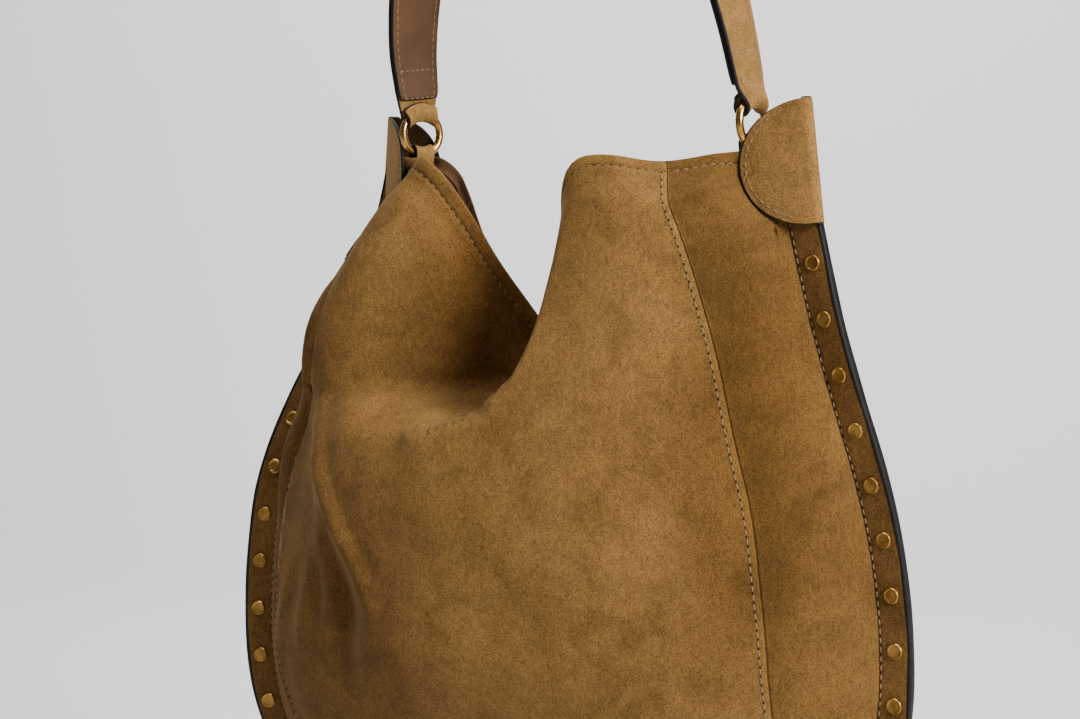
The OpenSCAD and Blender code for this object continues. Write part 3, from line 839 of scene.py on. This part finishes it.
def backdrop(floor_z=-0.80, wall=2.6, radius=0.9, steps=12):
    """Pale floor that curves up into a wall behind the bag."""
    look = Look("paper")
    tone = look.ramp(look.noise(0.6, 1), (0.3, (0.76, 0.755, 0.765)), (0.7, (0.82, 0.815, 0.83)))
    line = [(-4.0, floor_z), (wall - radius, floor_z)]
    for i in range(1, steps + 1):
        a = math.radians(90 * i / steps)
        line.append((wall - radius + radius * math.sin(a), floor_z + radius - radius * math.cos(a)))
    line.append((wall, 4.0))
    c, s = math.cos(AZIMUTH), math.sin(AZIMUTH)
    points = [[x * c - y * s, x * s + y * c, z] for y, z in line for x in (-6, 6)]
    faces = [[2 * i, 2 * i + 1, 2 * i + 3, 2 * i + 2] for i in range(len(line) - 1)]
    mesh = bpy.data.meshes.new("backdrop")
    mesh.from_pydata(points, [], faces)
    mesh.materials.append(look.finish(tone, Roughness=0.9))
    mesh.polygons.foreach_set("use_smooth", np.full(len(mesh.polygons), True))
    placed("backdrop", mesh, (0, 0, 0), (0, 0, 0))


backdrop()
world = bpy.data.worlds.new("studio")
world.use_nodes = True
sky = world.node_tree.nodes["Background"].inputs
sky["Color"].default_value = (0.97, 0.98, 1.0, 1)
sky["Strength"].default_value = 0.07
bpy.context.scene.world = world

# ---------- suede panels
FACES = {FRONT: "front", BACK: "back"}
SIDES = {LEFT: "left", RIGHT: "right"}
EDGE_KIND = 3  # material slot of the border on a panel
cut = [0, int(np.argmin(abs(S - SEAM_S))), int(np.argmin(abs(S - 1 + SEAM_S))), len(S) - 1]
faces_done = {face: finished(face) for face in FACES}
for face, word in FACES.items():
    inner, normal = faces_done[face]
    outer = inner + normal * SUEDE_T
    across_rows = inner.shape[1] - 1
    for k, part in enumerate(("left", "centre", "right")):
        a, b = cut[k], cut[k + 1] + 1
        points, quads, kinds = closed_sheet(outer[a:b], inner[a:b])
        row = np.arange((b - a - 1) * across_rows) % across_rows
        kinds[: len(row)][row < len(FLANGE_D) - 1] = EDGE_KIND
        skin = SUEDE_CENTRE if part == "centre" else SUEDE_SIDE
        make(f"{word}_{part}_suede", points, quads, [skin, SUEDE_IN, skin, SUEDE_EDGE], kinds,
             replaces=[f"{word}_{part}_panel"], slot="suede")

# ---------- painted edge all round the border
s_edge = np.linspace(0.004, 0.996, 420)
edge_p = inset(s_edge, 0.35)
flat_in = inward(s_edge)
edge_in = unit(np.stack([flat_in[:, 0], np.zeros(len(s_edge)), flat_in[:, 1]], -1))
wobble = 1 + 0.03 * waves(s_edge * EDGE_L, 0 * s_edge, 38, 5)
bar = np.array(rounded_bar(2.8, STRIP_T + 2 * SUEDE_T + 0.9, 1.3, 4))
points, quads = swept(on_seam(edge_p), seam_normal(edge_p[:, 0], edge_p[:, 1]), edge_in,
                      bar[None] * wobble[:, None, None])
make("painted_edge", points, quads, [PAINT], replaces=["edge_strip"], slot="edge_paint")

# ---------- lining, facings, pocket, snap


def inside(face, cols, rows, near, far, name, materials, node, slot):
    """A sheet inside the bag, from near to far mm behind the suede's inner surface."""
    inner, normal = (grid[cols, rows] for grid in faces_done[face])
    sheet_piece(name, inner - normal * near, inner - normal * far, materials, replaces=[node], slot=slot)


for face, word in FACES.items():
    hem_start = faces_done[face][0].shape[1] - len(HEM_D)
    inside(face, slice(8, -8), slice(len(FLANGE_D) + 5, hem_start - 2), 0.5, 1.1,
           f"{word}_lining_cloth", [LINING] * 3, f"lining_{word}", "lining")
    inside(face, slice(12, -12), slice(hem_start - 12, -1), 1.3, 2.4,
           f"{word}_hem_facing", [LEATHER, LEATHER, PAINT], f"hem_facing_{word}", "leather")
mid = len(S) // 2
rows = faces_done[BACK][0].shape[1]
inside(BACK, slice(mid - 22, mid + 23), slice(rows - 66, rows - 34), 1.8, 3.0,
       "pocket_cloth", [LINING, LINING, LEATHER], "slip_pocket", "lining")


def lathe(profile, steps=40):
    """Points and faces of a round solid; the profile is radius and height, upwards."""
    turn = 2 * math.pi * np.arange(steps) / steps
    pts = np.array([[r * np.cos(turn), r * np.sin(turn), np.full(steps, h)] for r, h in profile])
    index = np.arange(len(profile) * steps).reshape(len(profile), steps)
    ahead = np.roll(index, -1, 1)
    quads = np.stack([index[:-1], ahead[:-1], ahead[1:], index[1:]], -1).reshape(-1, 4).tolist()
    quads += [index[0, ::-1].tolist(), index[-1].tolist()]
    return pts.transpose(0, 2, 1).reshape(-1, 3), quads


def stand_on(points, place, up):
    across = unit(np.cross(up, [0.3, 0.2, 1.0]))
    other = np.cross(up, across)
    return place + points[:, :1] * across + points[:, 1:2] * other + points[:, 2:] * up


SNAP_SHARE = 0.39  # how far along the hem the snap sits
SNAP_LIFT = 2.5  # from the suede to the snap's back, past lining and facing
SOCKET = [(0.01, 0), (8, 0), (8, 1.0), (7.4, 1.8), (6.4, 2.2), (4.6, 2.2), (4, 1.8), (3.4, 1.2), (0.01, 1.1)]
STUD = [(0.01, 0), (8, 0), (8, 0.8), (7.4, 1.4), (4.2, 1.5), (3.6, 1.9), (3.2, 2.6), (2.6, 3), (0.01, 3.1)]
WASHER = [(0.01, 0), (7, 0), (7, 0.4), (0.01, 0.4)]
washers = []
for face, profile, part in ((FRONT, SOCKET, "socket"), (BACK, STUD, "stud")):
    inner, normal = faces_done[face]
    spot = int(np.argmin(abs(hem_share(face, S) - SNAP_SHARE))), inner.shape[1] - len(HEM_D) - 4
    place, up = inner[spot], unit(-normal[spot])
    points, quads = lathe(profile)
    make(f"magnet_{part}", stand_on(points, place + up * SNAP_LIFT, up), quads, [BRASS],
         replaces=[f"snap_{part}"], slot="brass")
    points, quads = lathe(WASHER)
    washers.append((stand_on(points, place + up * 0.05, up), quads))
points, quads = many(washers)
make("magnet_washers", points, quads, [BRASS], replaces=["snap_washers"], slot="brass")

# ---------- ears
EAR_CUP = 1.8  # how far a flap's round edge bends towards the bag


def ear_place(side, x, y, z):
    """From an ear's own frame, upright and centred on its fold, to the middle of the ring line."""
    t = math.radians(EAR_TILT)
    x, z = x * math.cos(t) - z * math.sin(t), x * math.sin(t) + z * math.cos(t)
    return ring_frame(side, np.stack([x + EAR_REACH, y, z + EAR_CENTRE_Z], -1))


def ear_surface(side, off):
    """Grid over the folded oval, from the front flap's round edge to the back flap's, off outwards."""
    o, r = math.radians(EAR_OPEN[side]), EAR_GAP / 2 + off
    w = np.sin(np.linspace(-1, 1, 41) * math.pi / 2 * 0.985)
    flap = np.concatenate([[1.0, 0.974], np.linspace(0.95, 0, 16) ** 0.8])
    share = np.concatenate([flap, np.zeros(11), flap[::-1]])
    fold = np.concatenate([np.full(18, -1.0), np.linspace(-1, 1, 13)[1:-1], np.full(18, 1.0)])[:, None]
    on_flap = np.abs(fold) > 0.999
    u = share[:, None] * (EAR_W * np.sqrt(1 - w**2))[None]
    x = r * np.cos(fold * (math.pi / 2 - o)) - u * math.cos(o)
    y = r * np.sin(fold * (math.pi / 2 - o)) + fold * on_flap * (u * math.sin(o) - EAR_CUP * (u / EAR_W) ** 2)
    return ear_place(side, x, y, np.repeat(w[None] * EAR_H / 2, len(fold), 0))


def ear_stitches(side, flap):
    """One row of stitches inside the round edge of one flap."""
    o, r = math.radians(EAR_OPEN[side]), EAR_GAP / 2 + EAR_T
    w = np.linspace(-0.93, 0.93, 90)
    u = np.maximum(0.0, EAR_W * np.sqrt(1 - w * w) - 4.2)
    y = flap * (r * math.cos(o) + u * math.sin(o) - EAR_CUP * (u / EAR_W) ** 2)
    line = ear_place(side, r * math.sin(o) - u * math.cos(o), y, w * EAR_H / 2 * 0.94)
    n = turn_z(YAW[side], [[side * math.sin(o), flap * math.cos(o), 0]])
    return thread(line, np.repeat(n, len(line), 0), 4.6, 3.4)


for side, word in SIDES.items():
    inner, outer = ear_surface(side, 0.0), ear_surface(side, EAR_T)
    points, quads, kinds = closed_sheet(outer, inner, 0.5)
    bands, per = outer.shape[0] - 1, outer.shape[1] - 1
    band = np.arange(bands * per) // per
    painted = np.concatenate([(band == 0) | (band == bands - 1)] * 2)
    kinds[: len(painted)][painted] = 2
    make(f"ear_{word}_suede", points, quads, [SUEDE, SUEDE_IN, PAINT], kinds,
         replaces=[f"ear_{word}"], slot="suede")
    points, quads = many([ear_stitches(side, flap) for flap in FACES])
    make(f"ear_{word}_thread", points, quads, [THREAD], slot="leather")

# ---------- seams' and hems' stitches
STITCH_PITCH, STITCH_L = 5.0, 3.6
for face, word in FACES.items():
    inner, normal = faces_done[face]
    outer = inner + normal * (SUEDE_T + 0.02)
    hem_row = inner.shape[1] - len(HEM_D) + int(np.argmin(abs(HEM_D - HEM_STITCH)))
    lines = [(slice(4, -4), hem_row)]
    for middle in (SEAM_S + 3.0 / EDGE_L, 1 - SEAM_S - 3.0 / EDGE_L):
        lines.append((int(np.argmin(abs(S - middle))), slice(len(FLANGE_D) + 1, hem_row + 2)))
    lines.append((slice(3, -3), len(FLANGE_D) - 3))
    points, quads = many([thread(outer[at], normal[at], STITCH_PITCH, STITCH_L) for at in lines])
    make(f"{word}_thread", points, quads, [THREAD], slot="leather")
    # painted shade in the needle holes
    points, quads = many([holes(outer[at], normal[at], STITCH_PITCH) for at in lines])
    make(f"{word}_needle_holes", points, quads, [HOLE_SHADE], slot="leather", sharp=True)

# ---------- strap
UP = {k: turn_z(YAW[k], [0, -math.sin(math.radians(LEAN)), math.cos(math.radians(LEAN))]) for k in SIDES}
WIRE_TOP = {k: np.array([k * RING_SPAN / 2, 0.0, 0.0]) + RING_R * UP[k] for k in SIDES}
RUN_UP = {LEFT: UP[LEFT], RIGHT: unit(UP[RIGHT] + np.array([-0.15, 0, 0]))}
CROWN = -RING_MID + np.array([0, 0, STRAP_T / 2])
CROWN_RUN = turn_z(CROWN_YAW, [1, 0, 0])
FOOT_H = 9.0  # height over the ring's wire at which the straight centre line starts
LAP = 5.5  # how far the folded suede returns on the inside
STRAP_SUEDE_T, STRAP_LINING_T = 2.8, 2.4
WRAP_R = WIRE_R + 0.35 + STRAP_SUEDE_T / 2
LOW_H = np.array([1.5, 3.5, 5.5, 7.5])


def strap_middle(side):
    """Centre line from just above the ring to the crown."""
    foot = WIRE_TOP[side] + FOOT_H * RUN_UP[side]
    bend = WIRE_TOP[side] + FLEX_H * RUN_UP[side]
    lean_in = unit(UP[side] + np.array([-0.15 * side, -0.06, 0]))
    rise = bezier([bend, bend + 95 * lean_in, CROWN + side * 62 * CROWN_RUN, CROWN], np.linspace(0, 1, 90))
    straight = foot + np.linspace(0, 1, 16)[:-1, None] * (bend - foot)
    line = np.vstack([straight, rise])
    for _ in range(12):
        line[1:-1] += 0.5 * ((line[:-2] + line[2:]) / 2 - line[1:-1])
    return line


def strap_frame(side, line):
    """Across (to the back) and outward directions along the strap."""
    run = run_lengths(line)
    yaw = np.radians(np.interp(run / run[-1], [0.12, 0.55], [YAW[side], CROWN_YAW]))
    along = unit(np.gradient(line, axis=0))
    across = np.stack([-np.sin(yaw), np.cos(yaw), np.zeros(len(yaw))], -1)
    across = unit(across - (across * along).sum(1, keepdims=True) * along)
    out = unit(np.cross(across, along)) * side
    middle = CROWN - np.array([0, 0, 90])
    return across, out * np.sign((out * (line - middle)).sum(1).mean())


def width_at(height):
    return np.interp(height, [-20, 0, 4, 9, 14, 30, 75, 110], [19, 19.5, 21.5, 25.5, 27.5, 29.5, 34, STRAP_W])


def settle(height, end, reach):
    """Offset from the centre line, which goes from the wrap's radius to end over the reach."""
    return (WRAP_R - (WRAP_R - end) * smooth(height / reach))[:, None]


def layer(side, middle, across, normal, widths, thick, dome=0.0):
    """The two faces of a strip along a line; its edges hang lower by the dome."""
    j = np.linspace(-1, 1, 17)[None, :, None]
    centre = middle[:, None] + across[:, None] * (j * widths[:, None, None] / 2)
    sunk = np.broadcast_to(dome, len(middle))[:, None, None] * j**2 * UP[side]
    return [centre + normal[:, None] * (sign * thick / 2) - sunk for sign in (1, -1)]


def strap_suede(side, line, run, across, out):
    """Two faces of the suede: down inside from the lap, round the wire, and up the outside."""
    base, up, first = WIRE_TOP[side], RUN_UP[side], out[0]
    lap_h = np.linspace(0, LAP, 16)[:0:-1]
    turn = np.radians(np.linspace(-180, 0, 25))[:, None]
    on_front = (STRAP_T - STRAP_SUEDE_T) / 2
    back = base + up * lap_h[:, None] - first * settle(lap_h, STRAP_LINING_T / 2 + 0.35, 6)
    wrap = base + (first * np.cos(turn) + up * np.sin(turn)) * WRAP_R
    low = base + up * LOW_H[:, None] + first * settle(LOW_H, on_front, 11)
    path = np.vstack([back, wrap, low, line + out * settle(run, on_front, 11)])
    wide = np.vstack([np.repeat(across[:1], len(path) - len(line), 0), across])
    normal = unit(np.cross(unit(np.gradient(path, axis=0)), wide))
    height = np.concatenate([lap_h, np.zeros(len(wrap)), LOW_H, run])
    widths = width_at(height)
    # the wrap follows the round wire, so its middle sits a little higher than its sides
    dome = (widths / 2) ** 2 / (2 * RING_R) * smooth(1 - height / 16)
    pair = layer(side, path, wide, normal, widths, STRAP_SUEDE_T, dome)
    return pair if (pair[0] - pair[1])[-1, 8] @ out[-1] >= 0 else pair[::-1]


def strap_stitches(line, run, across, out, start):
    """On each side of the strap: two rows across it, and one along each of its edges."""
    rows = []
    j = np.linspace(-0.84, 0.84, 30)[:, None]
    edge_j = width_at(run[start:])[:, None] / 2 - 3.2
    for sign in (1, -1):
        lift = sign * (STRAP_T / 2 + 0.05)
        for h in (9.5, 25.0):
            i = int(np.argmin(abs(run - h)))
            row = line[i] + across[i] * j * width_at(h) / 2 + out[i] * lift
            rows.append(thread(row, np.repeat(sign * out[i][None], len(row), 0), 3.6, 2.6, 0.36))
        for edge_side in (-1, 1):
            row = line[start:] + across[start:] * edge_side * edge_j + out[start:] * lift
            rows.append(thread(row, sign * out[start:], 4.6, 3.4, 0.36))
    return many(rows)


def strap_nodes(side, part):
    """The CAD's solids of a layer; the left half stands for the strap's middle too."""
    return ([f"strap_{part}"] if side == LEFT else []) + [f"strap_end_{SIDES[side]}_{part}"]


def bends(obj):
    """Bakes a piece of the strap's placement into its mesh."""
    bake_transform(obj)


for side, word in SIDES.items():
    line = strap_middle(side)
    across, out = strap_frame(side, line)
    run = run_lengths(line) + FOOT_H
    pair = strap_suede(side, line, run, across, out)
    bends(sheet_piece(f"strap_{word}_suede", *pair, [SUEDE, SUEDE, PAINT], 0.35, body=None,
                      replaces=strap_nodes(side, "suede"), slot="suede"))
    # smooth lining from the lap up
    start = int(np.argmin(abs(run - (LAP + 0.6))))
    middle = line[start:] - out[start:] * (STRAP_T - STRAP_LINING_T) / 2
    pair = layer(side, middle, across[start:], -out[start:], width_at(run[start:]) - 0.4, STRAP_LINING_T)
    bends(sheet_piece(f"strap_{word}_lining", *pair, [LEATHER, LEATHER, PAINT], 0.35, body=None,
                      replaces=strap_nodes(side, "lining"), slot="leather"))
    points, quads = strap_stitches(line, run, across, out, start)
    bends(make(f"strap_{word}_thread", points, quads, [THREAD], body=None, slot="leather"))

# ---------- leather loops that hold the rings
LOOP_T = 1.5
LOOP_GRIP = WIRE_R + 1.3  # radius of the hole round the wire
LOOP_HALF_W = 6.0


def loop_faces(side):
    """Outer and inner face of a loop: up one arm, over the ring's lowest wire and down the other arm."""
    full = LOOP_GRIP + LOOP_T / 2
    depth = np.linspace(20, 4, 9)
    spread = full - (LOOP_GRIP - 0.1) * smooth((depth - 2) / 9)
    turn = np.radians(np.linspace(-10, 190, 21))
    x = np.concatenate([spread, full * np.cos(turn), -spread[::-1]])
    z = np.concatenate([-depth, full * np.sin(turn), -depth[::-1]])
    middle = np.stack([x, np.zeros(len(x)), z - RING_R], -1)
    wide = np.repeat([[0.0, 1.0, 0.0]], len(middle), 0)
    normal = unit(np.cross(unit(np.gradient(middle, axis=0)), wide))
    j = np.linspace(-1, 1, 13)
    # its edges rise with the round wire it hangs from
    rise = (j**2)[None] * LOOP_HALF_W**2 / (2 * RING_R) * np.clip(1 + z / 10, 0, 1)[:, None]
    pair = []
    for sign in (1, -1):
        grid = (middle[:, None] + wide[:, None] * j[None, :, None] * LOOP_HALF_W
                + normal[:, None] * sign * LOOP_T / 2)
        grid[..., 2] += rise
        pair.append(ring_frame(side, grid))
    wire = ring_frame(side, [0, 0, -RING_R])
    pair.sort(key=lambda face: -np.linalg.norm(face[18, 6] - wire))
    return pair


for side, word in SIDES.items():
    sheet_piece(f"loop_{word}_leather", *loop_faces(side), [SUEDE, LEATHER, PAINT], 0.4,
                replaces=[f"ring_loop_{word}"], slot="leather")

# ---------- metal kept from the part
for name, material in (("ring_left", BRASS), ("ring_right", BRASS), ("stud_caps_front", BRASS_DULL),
                       ("stud_caps_back", BRASS_DULL), ("stud_posts", BRASS_DULL)):
    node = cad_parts[name]
    node.data.materials.clear()
    node.data.materials.append(material)
